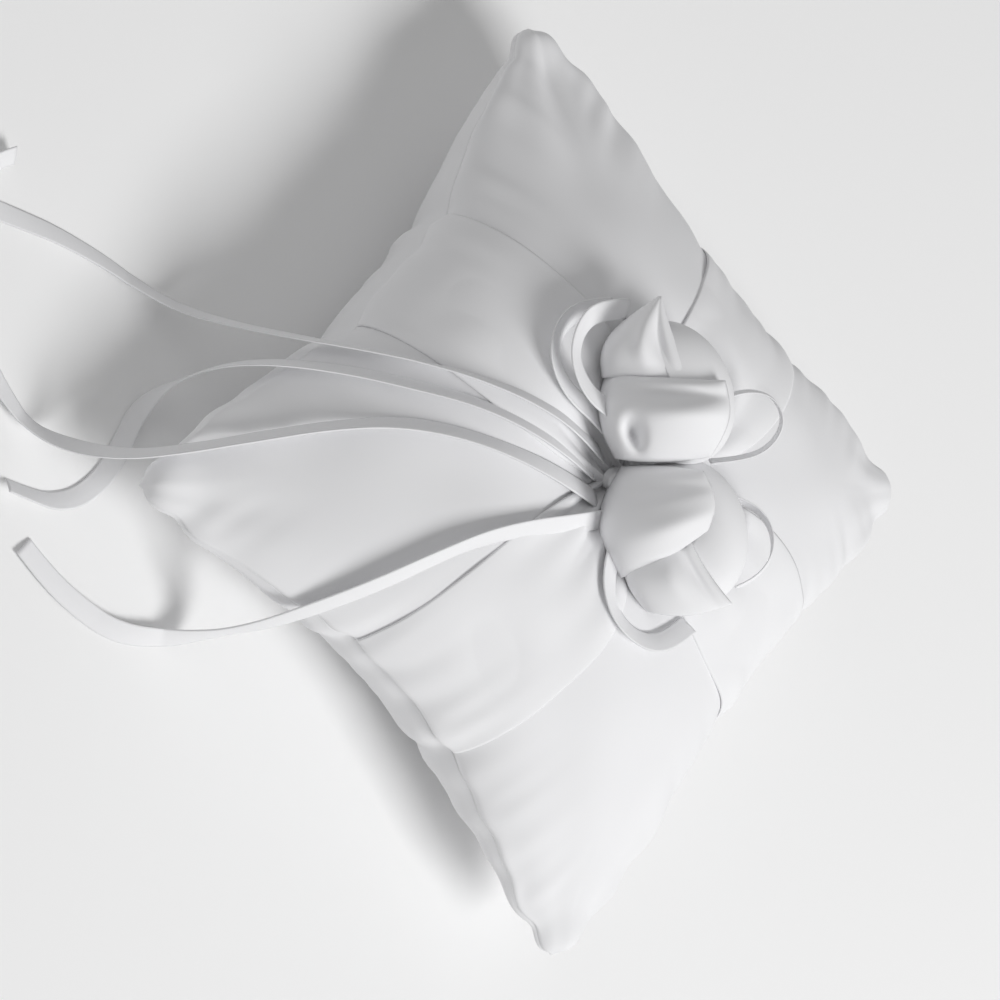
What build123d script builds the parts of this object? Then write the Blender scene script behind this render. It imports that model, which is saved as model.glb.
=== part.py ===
"""Ring bearer pillow: a stuffed satin cushion with two crossed satin bands, a pair of folded
satin rosebuds tied at the middle, bow loops and four narrow ribbon tails.

Frame: +Z up, origin at the bottom centre of the cushion, cushion edges along X and Y.
The near corner is (+X, -Y). Units are millimetres.
"""
import math
import os

from build123d import *

os.makedirs("parts", exist_ok=True)

# ---- cushion -----------------------------------------------------------------------------
TIP = 96.0              # corner tips stand this far from the middle along X and along Y
PULL_IN = 14.5          # the middle of each edge is drawn in by this much
SEAM_Z = 38.5           # height of the seam at the middle of an edge
CORNER_DROOP = 13.0     # the corner tips hang this much lower than that
TOP_RISE = 42.0         # crown of the front panel above the seam
BOTTOM_DROP = 40.1      # belly of the back panel below the seam, before it is laid flat
FRONT_SHAPE = (2.15, 0.62)    # powers of the front panel's rounding: a soft dome
BACK_SHAPE = (4.6, 0.49)      # and of the back panel's: a fuller belly
DIMPLE = 19.0           # depth of the hollow under the knot
DIMPLE_RADIUS = 27.0
PANEL_CLOTH = 0.6       # satin with its backing
SEAM_GAP = 0.15         # half of the gap between the two panels at the seam
FILL_GAP = 0.2
PATCH_STEPS = 24        # net of points that each panel surface passes through

# ---- wide bands --------------------------------------------------------------------------
BAND_HALF_WIDTH = 22.5
BAND_PINCH = 5.0        # half width where the band is gathered at the middle
BAND_PINCH_REACH = 24.0
BAND_LIFT = 0.45        # under face above the cushion
BAND_CLOTH = 0.5
BAND_CROSSING_LIFT = 1.0
BAND_CROSSING_REACH = 16.0
BAND_ENDS = 0.995
BAND_NET_ALONG = 36
BAND_NET_ACROSS = 8
BAND_SHIFT_X = (5.0, 0.0)     # sideways shift of the X band at its -X and +X ends
BAND_SHIFT_Y = (-2.0, -7.0)   # sideways shift of the Y band at its -Y and +Y ends

# ---- rosebuds, knot, narrow ribbon -------------------------------------------------------
FACING = -40.0          # compass angle of the side that the rosebuds open towards
LEFT_BUD = (-19.0, -24.0, 77.0)    # foot of the bud's axis
RIGHT_BUD = (8.0, 13.0, 69.8)
LEFT_BUD_RADIUS = 17.5
RIGHT_BUD_RADIUS = 20.5
LEFT_BUD_HEIGHT = 24.0
RIGHT_BUD_HEIGHT = 32.0
BUD_NECK = 4.0
PETAL_WALL = 2.4
PETAL_GAP_DEGREES = 4.0
HEART_RADIUS = 9.0
KNOT_CENTRE = (5.0, -5.0, 69.8)
KNOT_RADIUS = 4.4
THREAD = 0.9
THREAD_LOOP = 5.5       # radius of the thread tied round the gathers
THREAD_CENTRE = (0.0, 0.0, 64.6)
RIBBON = 6.0            # width of the narrow ribbon
PEARL = 2.4             # diameter of the seed pearls
PEARL_PLACES = [(9.8, -1.3, 67.6), (11.2, 1.2, 67.8), (12.0, 4.0, 68.2)]
STITCH_COUNT = 13
STITCH_PITCH = 6.5
STITCH_REACH = 2.6


def clipped(value):
    """Value kept from zero up."""
    return max(value, 0.0)


def cushion_point(p, q, rise, grow=0.0, shift=0.0):
    """Point of the cushion skin for p and q from -1 to 1, with its rise above the seam surface.
    The plan is a square whose edges are drawn in, and the height is a rounded box that tapers to
    nothing at the four tips. A positive rise has the hollow under the knot."""
    x = (TIP + grow) * p * (1 - PULL_IN / TIP * clipped(1 - q * q) ** 2.5 * abs(p))
    y = (TIP + grow) * q * (1 - PULL_IN / TIP * clipped(1 - p * p) ** 2.5 * abs(q))
    flatness, softness = FRONT_SHAPE if rise > 0 else BACK_SHAPE
    fullness = (clipped(1 - abs(p) ** flatness) * clipped(1 - abs(q) ** flatness)) ** softness
    fullness *= 1 - (p * q) ** 2
    z = SEAM_Z - CORNER_DROOP * abs(p * q) ** 3 + rise * fullness + shift
    if rise > 0:
        z -= DIMPLE * math.exp(-(x * x + y * y) / DIMPLE_RADIUS**2)
    return x, y, z


def eased(count):
    """Count + 1 values from -1 to 1 that crowd towards both ends."""
    return [math.sin(math.pi / 2 * (2 * i / count - 1)) for i in range(count + 1)]


def cushion_face(rise, grow, shift):
    """Spline face through the whole cushion skin."""
    steps = eased(PATCH_STEPS)
    net = [[cushion_point(p, q, rise, grow, shift) for q in steps] for p in steps]
    return Face.make_surface_from_array_of_points(net)


def between(first, second):
    """Closed solid between two faces that have the same layout, with ruled sides."""
    sides = [
        Face.make_surface_from_curves(a, b) for a, b in zip(first.edges(), second.edges())
    ]
    solid = Solid(Shell([first, second, *sides]))
    return solid if solid.volume > 0 else solid.fix()


# ---- cushion: two satin panels and the filling -------------------------------------------
with BuildPart() as front_panel:
    add(
        between(
            cushion_face(TOP_RISE, 0.0, SEAM_GAP),
            cushion_face(TOP_RISE - PANEL_CLOTH, -PANEL_CLOTH, SEAM_GAP),
        )
    )
front_panel.part.label = "front_panel"
export_step(front_panel.part, "parts/front_panel.step")

# The back panel is a shell like the front one, cut where it rests, with a flat patch in its floor.
with BuildPart() as floor_patch:
    add(
        between(
            cushion_face(-BOTTOM_DROP + PANEL_CLOTH, -PANEL_CLOTH, -SEAM_GAP),
            cushion_face(0.0, -PANEL_CLOTH, SEAM_GAP),
        )
    )
    split(bisect_by=Plane.XY, keep=Keep.TOP)
    split(bisect_by=Plane.XY.offset(PANEL_CLOTH), keep=Keep.BOTTOM)

with BuildPart() as back_panel:
    add(
        between(
            cushion_face(-BOTTOM_DROP + PANEL_CLOTH, -PANEL_CLOTH, -SEAM_GAP),
            cushion_face(-BOTTOM_DROP, 0.0, -SEAM_GAP),
        )
    )
    split(bisect_by=Plane.XY, keep=Keep.TOP)
    add(floor_patch.part)
back_panel.part.label = "back_panel"
export_step(back_panel.part, "parts/back_panel.step")

with BuildPart() as fibre_fill:
    add(
        between(
            cushion_face(TOP_RISE - PANEL_CLOTH - FILL_GAP, -PANEL_CLOTH - FILL_GAP, SEAM_GAP),
            cushion_face(PANEL_CLOTH + FILL_GAP - BOTTOM_DROP, -PANEL_CLOTH - FILL_GAP, -SEAM_GAP),
        )
    )
    split(bisect_by=Plane.XY.offset(PANEL_CLOTH + FILL_GAP), keep=Keep.TOP)
fibre_fill.part.label = "fibre_fill"
export_step(fibre_fill.part, "parts/fibre_fill.step")

# Slip stitches that close the opening through which the cushion was stuffed, on the -X edge.
STITCH_LENGTH = 2 * STITCH_REACH
with BuildPart() as closing_stitches:
    for number in range(STITCH_COUNT):
        along = (number - (STITCH_COUNT - 1) / 2) * STITCH_PITCH
        edge_x, _, edge_z = cushion_point(-1.0, along / TIP, 0.0)
        stitch = Plane(origin=(edge_x - THREAD, along, edge_z), z_dir=(0, 0.35, 1))
        with BuildSketch(stitch.offset(-STITCH_LENGTH / 2)):
            Circle(THREAD / 2)
        extrude(amount=STITCH_LENGTH)
closing_stitches.part.label = "closing_stitches"
export_step(closing_stitches.part, "parts/closing_stitches.step")


# ---- wide satin bands, sewn into the seam and gathered at the middle ---------------------
def band_point(s, v, lift, crossing_lift, shifts, along_x):
    """Point of a band, s from -1 to 1 along it and v from -1 to 1 across it."""
    reach = abs(s) * TIP / BAND_PINCH_REACH
    half = BAND_PINCH + (BAND_HALF_WIDTH - BAND_PINCH) * (1 - math.exp(-(reach**1.6)))
    across = ((shifts[0] if s < 0 else shifts[1]) * s * s + v * half) / TIP
    p, q = (s, across) if along_x else (across, s)
    x, y, z = cushion_point(p, q, TOP_RISE, lift, SEAM_GAP + lift)
    return x, y, z + crossing_lift * math.exp(-(x * x + y * y) / BAND_CROSSING_REACH**2)


def band_face(lift, crossing_lift, shifts, along_x):
    """Spline face of one side of a band."""
    across = [-1 + 2 * j / BAND_NET_ACROSS for j in range(BAND_NET_ACROSS + 1)]
    net = [
        [band_point(s * BAND_ENDS, v, lift, crossing_lift, shifts, along_x) for v in across]
        for s in eased(BAND_NET_ALONG)
    ]
    return Face.make_surface_from_array_of_points(net)


for band_label, crossing_lift, shifts, along_x in (
    ("band_ribbon_x", 0.0, BAND_SHIFT_X, True),
    ("band_ribbon_y", BAND_CROSSING_LIFT, BAND_SHIFT_Y, False),
):
    with BuildPart() as band:
        add(
            between(
                band_face(BAND_LIFT + BAND_CLOTH, crossing_lift, shifts, along_x),
                band_face(BAND_LIFT, crossing_lift, shifts, along_x),
            )
        )
    band.part.label = band_label
    export_step(band.part, f"parts/{band_label}.step")


# ---- rosebuds: three folded petals round a rolled heart ----------------------------------
def bud_plane(base, angle):
    """Upright plane through a bud's axis, its x pointing outwards at a compass angle."""
    turn = math.radians(angle)
    return Plane(
        origin=base,
        x_dir=(math.cos(turn), math.sin(turn), 0),
        z_dir=(math.sin(turn), -math.cos(turn), 0),
    )


# Each petal covers an arc round its bud: start angle, measured from FACING, and sweep.
LEFT_PETALS = {"front_petal": (-30, 140), "side_petal": (-140, 110), "back_petal": (110, 110)}
RIGHT_PETALS = {"front_petal": (-110, 140), "side_petal": (30, 110), "back_petal": (140, 110)}
for bud, base, radius, height, petals in (
    ("left_bud", LEFT_BUD, LEFT_BUD_RADIUS, LEFT_BUD_HEIGHT, LEFT_PETALS),
    ("right_bud", RIGHT_BUD, RIGHT_BUD_RADIUS, RIGHT_BUD_HEIGHT, RIGHT_PETALS),
):
    for petal, (start, sweep_degrees) in petals.items():
        with BuildPart() as piece:
            with BuildSketch(bud_plane(base, FACING + start + PETAL_GAP_DEGREES / 2)):
                with BuildLine():
                    outer = Spline(
                        (BUD_NECK, 0),
                        (0.45 * radius, 0.22 * height),
                        (radius, 0.55 * height),
                        (0.6 * radius, height),
                    )
                    inner = Spline(
                        (BUD_NECK / 3, PETAL_WALL / 2),
                        (0.45 * radius - PETAL_WALL, 0.22 * height + PETAL_WALL),
                        (radius - PETAL_WALL, 0.55 * height),
                        (0.6 * radius - PETAL_WALL, height - PETAL_WALL / 4),
                    )
                    Line(outer @ 0, inner @ 0)
                    Line(outer @ 1, inner @ 1)
                make_face()
            revolve(
                axis=Axis(base, (0, 0, 1)), revolution_arc=sweep_degrees - PETAL_GAP_DEGREES
            )
        piece.part.label = f"{bud}_{petal}"
        export_step(piece.part, f"parts/{piece.part.label}.step")

    with BuildPart() as heart:
        with BuildSketch(bud_plane(base, FACING)):
            with BuildLine():
                roll = Spline(
                    (0, 0.34 * height),
                    (0.8 * HEART_RADIUS, 0.5 * height),
                    (HEART_RADIUS, 0.72 * height),
                    (0.5 * HEART_RADIUS, 0.95 * height),
                )
                Polyline(roll @ 1, (0, 0.95 * height), roll @ 0)
            make_face()
        revolve(axis=Axis(base, (0, 0, 1)))
    heart.part.label = f"{bud}_heart"
    export_step(heart.part, f"parts/{bud}_heart.step")

# ---- thread, knot and seed pearls at the middle ------------------------------------------
with BuildPart(Plane(origin=THREAD_CENTRE)) as gathering_thread:
    Torus(THREAD_LOOP, THREAD / 2)
gathering_thread.part.label = "gathering_thread"
export_step(gathering_thread.part, "parts/gathering_thread.step")

with BuildPart(Plane(origin=KNOT_CENTRE)) as ribbon_knot:
    Sphere(KNOT_RADIUS)
ribbon_knot.part.label = "ribbon_knot"
export_step(ribbon_knot.part, "parts/ribbon_knot.step")

with BuildPart() as seed_pearls:
    with Locations(*PEARL_PLACES):
        Sphere(PEARL / 2)
seed_pearls.part.label = "seed_pearls"
export_step(seed_pearls.part, "parts/seed_pearls.step")

# ---- narrow ribbon: bow loops and free tails ---------------------------------------------
# Each route is the line of a flat ribbon RIBBON wide; its solid is a tube of that diameter.
BOW_LOOPS = {
    "bow_loop_left_lower": [
        (-4, -10, 70), (-2.5, -21, 76), (-1, -31.5, 78.5), (-5, -40.5, 79),
        (-14, -44.5, 78.5), (-25, -43.5, 77.5), (-33, -37.5, 77.5),
    ],
    "bow_loop_left_upper": [
        (-6, -12, 77.5), (-3.5, -21, 83), (-1, -31, 86), (-5.5, -40, 87),
        (-14, -44, 86.5), (-25, -43, 85.5), (-33.5, -37.5, 85),
    ],
    "bow_loop_right": [
        (19, 6, 73.5), (26.5, 9, 77.5), (31, 16.5, 79), (31.5, 26, 79.5),
        (27.5, 34, 79), (21, 38, 79), (14, 39, 79),
    ],
    "bow_loop_far_left": [
        (-14, 0, 77), (-23.5, -2.5, 82), (-32.5, -1.5, 88), (-38, 5, 92.5), (-35.5, 13, 94),
        (-28.5, 16.5, 90.5), (-22, 14.5, 85), (-16.5, 9.5, 80),
    ],
    "bow_loop_far_right": [
        (-12.5, 18, 78.5), (-17, 26, 84), (-16.5, 34, 90), (-9.5, 39.5, 92.5), (-2, 41.5, 89),
        (2.5, 40, 83.5),
    ],
}
RIBBON_TAILS = {
    "ribbon_tail_far_left": [
        (2, -12, 70), (7, -27, 78), (13, -43, 79), (19, -57, 74.5), (25, -70, 65.5),
        (31, -82, 54), (36, -92, 42.5), (40, -102, 27), (42, -112, 10), (44.5, -128, 3.2),
        (51, -147, 3.2), (57, -159, 3.2), (62, -168.5, 3.2),
    ],
    "ribbon_tail_left": [
        (8, -11.5, 70.5), (14, -25, 78), (20, -41, 79), (26, -56, 74.5), (33, -70, 65),
        (39, -82, 54), (47, -94, 41), (53, -100, 25.5), (61, -101, 10), (73, -97.5, 3.2),
        (86, -93.5, 3.2), (97, -94.5, 3.2), (104.5, -99.5, 3.2), (108.5, -106.5, 3.2),
        (111.5, -113, 3.2),
    ],
    "ribbon_tail_middle": [
        (12.5, -5.5, 70.5), (20, -20, 78), (27, -36, 79), (34, -51, 74.5), (43, -65, 66.5),
        (55, -76, 57), (69, -86, 46.5), (82, -95, 38.5), (92, -103, 28), (95.5, -111, 12),
        (95.5, -122, 3.2), (92.5, -138, 3.2), (86, -155, 3.2), (77, -168, 3.2), (66, -175, 3.2),
        (55, -176.5, 3.2), (46, -172, 3.2),
    ],
    "ribbon_tail_right": [
        (15, 0, 72), (26, -9, 78), (39, -20, 79), (51, -28, 76), (64, -33, 69.5),
        (77, -37, 60), (90, -41, 45), (97, -42.5, 29), (100.5, -44, 13), (107, -50, 3.2),
        (116, -61, 3.2), (119, -74, 3.2), (120, -87, 3.2), (119, -98, 3.2),
    ],
}


def corner_radii(points):
    """Largest neat arc at each corner: 0.45 of the shorter run over the tangent of half the turn."""
    places = [Vector(*point) for point in points]
    radii = []
    for before, corner, after in zip(places, places[1:], places[2:]):
        arriving, leaving = corner - before, after - corner
        half_turn = math.radians(arriving.get_angle(leaving)) / 2
        radii.append(0.45 * min(arriving.length, leaving.length) / math.tan(half_turn))
    return radii


for ribbon_label, points in {**BOW_LOOPS, **RIBBON_TAILS}.items():
    radii = corner_radii(points)
    with BuildPart() as ribbon:
        with BuildLine():
            route = FilletPolyline(*points, radius=radii)
        with BuildSketch(Plane(origin=route @ 0, z_dir=route % 0)):
            Circle(RIBBON / 2)
        sweep(path=route)
    ribbon.part.label = ribbon_label
    export_step(ribbon.part, f"parts/{ribbon_label}.step")
    length = route.length
    filled = ribbon.part.volume / (length * math.pi * RIBBON**2 / 4)
    print(ribbon_label, f"length {length:.0f}, volume over section times length {filled:.3f},")
    print("   radii", [round(r) for r in radii])
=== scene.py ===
"""Ring bearer pillow: a stuffed satin cushion with crossed bands, two folded satin rosebuds,
bow loops and four narrow ribbon tails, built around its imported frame.

Shapes are worked out in millimetres and put into the meshes in metres.
"""
import math

import bmesh
import bpy
import numpy as np
from mathutils import Matrix, Vector


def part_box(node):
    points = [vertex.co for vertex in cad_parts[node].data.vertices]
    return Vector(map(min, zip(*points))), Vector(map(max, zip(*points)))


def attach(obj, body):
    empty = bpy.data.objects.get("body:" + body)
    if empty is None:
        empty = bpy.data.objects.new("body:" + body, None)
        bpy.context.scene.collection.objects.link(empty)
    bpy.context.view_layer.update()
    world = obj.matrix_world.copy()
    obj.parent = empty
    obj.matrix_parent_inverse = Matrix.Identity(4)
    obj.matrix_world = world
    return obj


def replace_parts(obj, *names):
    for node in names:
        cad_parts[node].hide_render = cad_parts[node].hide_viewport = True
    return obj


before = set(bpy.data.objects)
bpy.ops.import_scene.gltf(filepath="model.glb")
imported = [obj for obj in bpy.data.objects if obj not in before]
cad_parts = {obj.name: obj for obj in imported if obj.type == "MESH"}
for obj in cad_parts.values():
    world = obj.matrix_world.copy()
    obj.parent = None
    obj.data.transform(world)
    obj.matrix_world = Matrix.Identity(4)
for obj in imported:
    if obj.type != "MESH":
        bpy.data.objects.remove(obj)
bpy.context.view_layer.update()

bl_info = {
    "name": "Ring Bearer Pillow",
    "version": (1, 0, 0),
    "blender": (4, 5, 0),
    "location": "3D View > Sidebar > Ring Pillow",
    "description": "Builds a satin ring bearer pillow, its rosebuds and its ribbons",
    "category": "Object",
}

MM = 0.001
BODY = "root"

# ---- narrow ribbons: route points in mm, and the turn of the ribbon's face about each in degre
# A turn of 0 faces away from the cushion, 90 stands on edge.
RIBBONS = {
    "bow_loop_left_lower": dict(
        route=[
            (-4, -10, 70), (-1, -23, 75), (3, -36, 77.5), (0, -46, 77.5), (-8, -50, 77),
            (-17.5, -48, 76.5), (-24.5, -41.5, 77),
        ],
        turns=[20, 20, 25, 30, 30, 25, 25], length=0.063, end="object", sag=1.0,
    ),
    "bow_loop_left_upper": dict(
        route=[
            (-6, -12, 77.5), (-2, -23, 82), (2, -34, 84), (-1, -44, 84.5), (-9, -48, 84),
            (-18, -46.5, 83), (-25, -40, 83.5),
        ],
        turns=[20, 20, 25, 30, 30, 25, 25], length=0.061, end="object", sag=1.5,
    ),
    "bow_loop_right": dict(
        route=[
            (19, 6, 73.5), (28, 7, 76.5), (35, 14, 77.5), (36, 23, 77.5), (33, 31, 77.5),
            (27, 35, 78), (20, 36.5, 78),
        ],
        turns=[-10, -20, -30, -35, -35, -30, -30], length=0.050, end="object", sag=1.0,
    ),
    "bow_loop_far_left": dict(
        route=[
            (-14, 0, 77), (-23.5, -2.5, 82), (-32.5, -1.5, 88), (-38, 5, 92.5), (-35.5, 13, 94),
            (-28.5, 16.5, 90.5), (-22, 14.5, 85), (-16.5, 9.5, 80),
        ],
        turns=None, length=0.064, end="object", sag=0.0,
    ),
    "bow_loop_far_right": dict(
        route=[
            (-12.5, 18, 78.5), (-17, 26, 82), (-16, 34, 85.5), (-9.5, 39.5, 87), (-2, 41.5, 84),
            (2.5, 40, 80),
        ],
        turns=None, length=0.044, end="object", sag=0.0,
    ),
    "ribbon_tail_far_left": dict(
        route=[
            (2, -12, 70), (7, -27, 78), (13, -43, 79), (19, -57, 74.5), (25, -70, 65.5),
            (31, -82, 54), (36, -92, 42.5), (40, -102, 27), (42, -112, 10), (44.5, -128, 3.2),
            (51, -147, 3.2), (57, -159, 3.2), (62, -168.5, 3.2),
        ],
        turns=[35, 45, 55, 65, 70, 65, 60, 60, 55, 45, 35, 25, 15],
        length=0.200, end="bare", sag=2.3,
    ),
    "ribbon_tail_left": dict(
        route=[
            (8, -11.5, 70.5), (14, -25, 78), (20, -41, 79), (26, -56, 74.5), (33, -70, 65),
            (39, -82, 54), (47, -94, 41), (53, -100, 25.5), (61, -101, 10), (73, -97.5, 3.2),
            (86, -93.5, 3.2), (97, -94.5, 3.2), (104.5, -99.5, 3.2), (108.5, -106.5, 3.2),
            (111.5, -113, 3.2),
        ],
        turns=[30, 40, 50, 50, 50, 50, 55, 60, 60, 50, 30, 20, 30, 45, 50],
        length=0.202, end="bare", sag=2.3,
    ),
    "ribbon_tail_middle": dict(
        route=[
            (12.5, -5.5, 70.5), (20, -20, 78), (27, -36, 79), (34, -51, 74.5), (43, -65, 66.5),
            (55, -76, 57), (69, -86, 46.5), (82, -95, 38.5), (92, -103, 28), (95.5, -111, 12),
            (95.5, -122, 3.2), (92.5, -138, 3.2), (86, -155, 3.2), (77, -168, 3.2),
            (66, -175, 3.2), (55, -176.5, 3.2), (46, -172, 3.2),
        ],
        turns=[25, 35, 45, 50, 50, 50, 50, 55, 60, 55, 40, 20, 5, 0, 20, 40, 45],
        length=0.259, end="bare", sag=2.3,
    ),
    "ribbon_tail_right": dict(
        route=[
            (15, 0, 72), (26, -9, 78), (39, -20, 79), (51, -28, 76), (64, -33, 69.5),
            (77, -37, 60), (90, -41, 45), (97, -42.5, 29), (100.5, -44, 13), (107, -50, 3.2),
            (116, -61, 3.2), (119, -74, 3.2), (120, -87, 3.2), (119, -98, 3.2),
        ],
        turns=[-30, -40, -45, -50, -50, -50, -50, -55, -60, -45, -25, -10, 0, 10],
        length=0.196, end="bare", sag=2.3,
    ),
}


# ---- settings ------------------------------------------------------------------------------
class PILLOW_PG_cushion(bpy.types.PropertyGroup):
    """Sizes and cloth of the cushion and its wide bands."""

    tip: bpy.props.FloatProperty(
        name="Tip reach", description="Distance of a corner tip from the middle along an edge",
        default=96 * MM, unit="LENGTH",
    )
    pull_in: bpy.props.FloatProperty(
        name="Edge pull-in", description="How far the middle of each edge is drawn in",
        default=14.5 * MM, unit="LENGTH",
    )
    rise: bpy.props.FloatProperty(
        name="Crown rise", description="Height of the crown above the seam",
        default=42 * MM, unit="LENGTH",
    )
    drop: bpy.props.FloatProperty(
        name="Belly drop", description="Depth of the belly below the seam before it lies flat",
        default=40.1 * MM, unit="LENGTH",
    )
    band_width: bpy.props.FloatProperty(
        name="Band width", description="Width of each wide band", default=45 * MM, unit="LENGTH",
    )
    panel_colour: bpy.props.FloatVectorProperty(
        name="Panel colour", description="Satin of the two cushion panels",
        default=(0.5, 0.5, 0.51), subtype="COLOR", min=0, max=1,
    )
    band_colour: bpy.props.FloatVectorProperty(
        name="Band colour", description="Satin of the wide bands",
        default=(0.68, 0.68, 0.69), subtype="COLOR", min=0, max=1,
    )


class PILLOW_PG_bow(bpy.types.PropertyGroup):
    """Sizes and cloth of the rosebuds and narrow ribbons."""

    ribbon_width: bpy.props.FloatProperty(
        name="Ribbon width", description="Width of the narrow ribbon", default=6 * MM,
        unit="LENGTH",
    )
    petal_thickness: bpy.props.FloatProperty(
        name="Petal thickness", description="Thickness of a folded petal", default=0.7 * MM,
        unit="LENGTH",
    )
    petal_colour: bpy.props.FloatVectorProperty(
        name="Petal colour", description="Satin of the rosebuds",
        default=(0.72, 0.72, 0.73), subtype="COLOR", min=0, max=1,
    )
    ribbon_colour: bpy.props.FloatVectorProperty(
        name="Ribbon colour", description="Satin of the narrow ribbon",
        default=(0.7, 0.7, 0.71), subtype="COLOR", min=0, max=1,
    )


class PILLOW_PG_stage(bpy.types.PropertyGroup):
    """Floor and light."""

    key_power: bpy.props.FloatProperty(
        name="Key light", description="Power of the large soft light at the right",
        default=34.0, unit="POWER",
    )
    fill_power: bpy.props.FloatProperty(
        name="Fill light", description="Power of the weak light at the left",
        default=2.0, unit="POWER",
    )
    surround: bpy.props.FloatProperty(
        name="Surround", description="Strength of the light from all around", default=0.3,
    )
    floor_colour: bpy.props.FloatVectorProperty(
        name="Floor colour", description="Pale floor", default=(0.95, 0.95, 0.95), subtype="COLOR",
        min=0, max=1,
    )


# ---- mesh helpers ----------------------------------------------------------------------------
def unit(vectors):
    """Vectors divided by their lengths, along the last axis."""
    return vectors / np.maximum(np.linalg.norm(vectors, axis=-1, keepdims=True), 1e-12)


def step(value, low, high):
    """Smooth step: 0 below low, 1 above high, and 3t^2 - 2t^3 between."""
    t = np.clip((value - low) / (high - low), 0, 1)
    return t * t * (3 - 2 * t)


def grid_quads(rows, columns, closed=False):
    """Corner numbers of the quads of a rows by columns grid of points. A closed grid joins its last
    column to its first."""
    i, j = np.meshgrid(
        np.arange(rows - 1), np.arange(columns if closed else columns - 1), indexing="ij"
    )
    k = (j + 1) % columns
    quads = [i * columns + j, i * columns + k, (i + 1) * columns + k, (i + 1) * columns + j]
    return np.stack(quads, -1).reshape(-1, 4)


def make_piece(name, points, faces, material, cloth=None):
    """Object from points in mm and faces, smooth, riding on the body, with a cloth UV map in
    metres where one is given per point."""
    mesh = bpy.data.meshes.new(name)
    mesh.from_pydata((np.asarray(points).reshape(-1, 3) * MM).tolist(), [], [list(f) for f in faces])
    mesh.polygons.foreach_set("use_smooth", np.ones(len(mesh.polygons), bool))
    if cloth is not None:
        corners = np.zeros(len(mesh.loops), np.int32)
        mesh.loops.foreach_get("vertex_index", corners)
        layer = mesh.uv_layers.new(name="cloth")
        layer.data.foreach_set("uv", np.asarray(cloth).reshape(-1, 2)[corners].ravel())
    mesh.materials.append(material)
    mesh.update()
    piece = bpy.data.objects.new(name, mesh)
    bpy.context.scene.collection.objects.link(piece)
    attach(piece, BODY)
    return piece


def thicken(piece, thickness, offset=-1.0):
    """Solidify wall on a piece, thickness in mm, inwards from its faces."""
    wall = piece.modifiers.new("wall", "SOLIDIFY")
    wall.thickness = thickness * MM
    wall.offset = offset
    wall.use_even_offset = False
    wall.use_quality_normals = True


def waves(place, seed, longest, shortest, count=10):
    """Smooth random values from -1 to 1 along a line: a seeded sum of sines whose wavelengths run
    from longest to shortest."""
    rng = np.random.default_rng(seed)
    lengths = np.geomspace(longest, shortest, count)
    phases = rng.uniform(0, 2 * math.pi, count)
    weights = rng.uniform(0.5, 1.0, count) * (lengths / longest) ** 0.3
    total = sum(w * np.sin(2 * math.pi * place / l + f) for w, l, f in zip(weights, lengths, phases))
    return total / weights.sum() * 2


def swells(x, y, seed, longest, shortest, count=12):
    """Smooth random values over a plane: a seeded sum of plane waves in random directions."""
    rng = np.random.default_rng(seed)
    total = np.zeros(np.broadcast(x, y).shape)
    for length in np.geomspace(longest, shortest, count):
        angle, phase = rng.uniform(0, 2 * math.pi, 2)
        total += np.sin(2 * math.pi * (x * math.cos(angle) + y * math.sin(angle)) / length + phase)
    return total / math.sqrt(count)


# ---- cushion form ----------------------------------------------------------------------------
SEAM_Z = 38.5
CORNER_DROOP = 13.0
FRONT_SHAPE = (2.15, 0.62)
BACK_SHAPE = (4.6, 0.49)
DIMPLE = 19.0
DIMPLE_RADIUS = 27.0


def sizes():
    """Cushion settings in mm."""
    s = bpy.context.scene.pillow_cushion
    return s.tip / MM, s.pull_in / MM, s.rise / MM, s.drop / MM


def cushion_point(p, q, rise, shift=0.0):
    """Cushion skin for p and q from -1 to 1. The plan is a square with drawn-in edges, and the
    height is a rounded box that tapers to nothing at the tips. The front has a hollow at the knot."""
    tip, pull_in, _, _ = sizes()
    x = tip * p * (1 - pull_in / tip * np.clip(1 - q * q, 0, 1) ** 2.5 * abs(p))
    y = tip * q * (1 - pull_in / tip * np.clip(1 - p * p, 0, 1) ** 2.5 * abs(q))
    flatness, softness = FRONT_SHAPE if rise > 0 else BACK_SHAPE
    full = np.clip(1 - abs(p) ** flatness, 0, 1) * np.clip(1 - abs(q) ** flatness, 0, 1)
    full = full**softness * (1 - (p * q) ** 2)
    z = SEAM_Z - CORNER_DROOP * abs(p * q) ** 3 + rise * full + shift
    if rise > 0:
        z = z - DIMPLE * np.exp(-(x * x + y * y) / DIMPLE_RADIUS**2)
    return np.stack(np.broadcast_arrays(x, y, z), -1)


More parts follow.
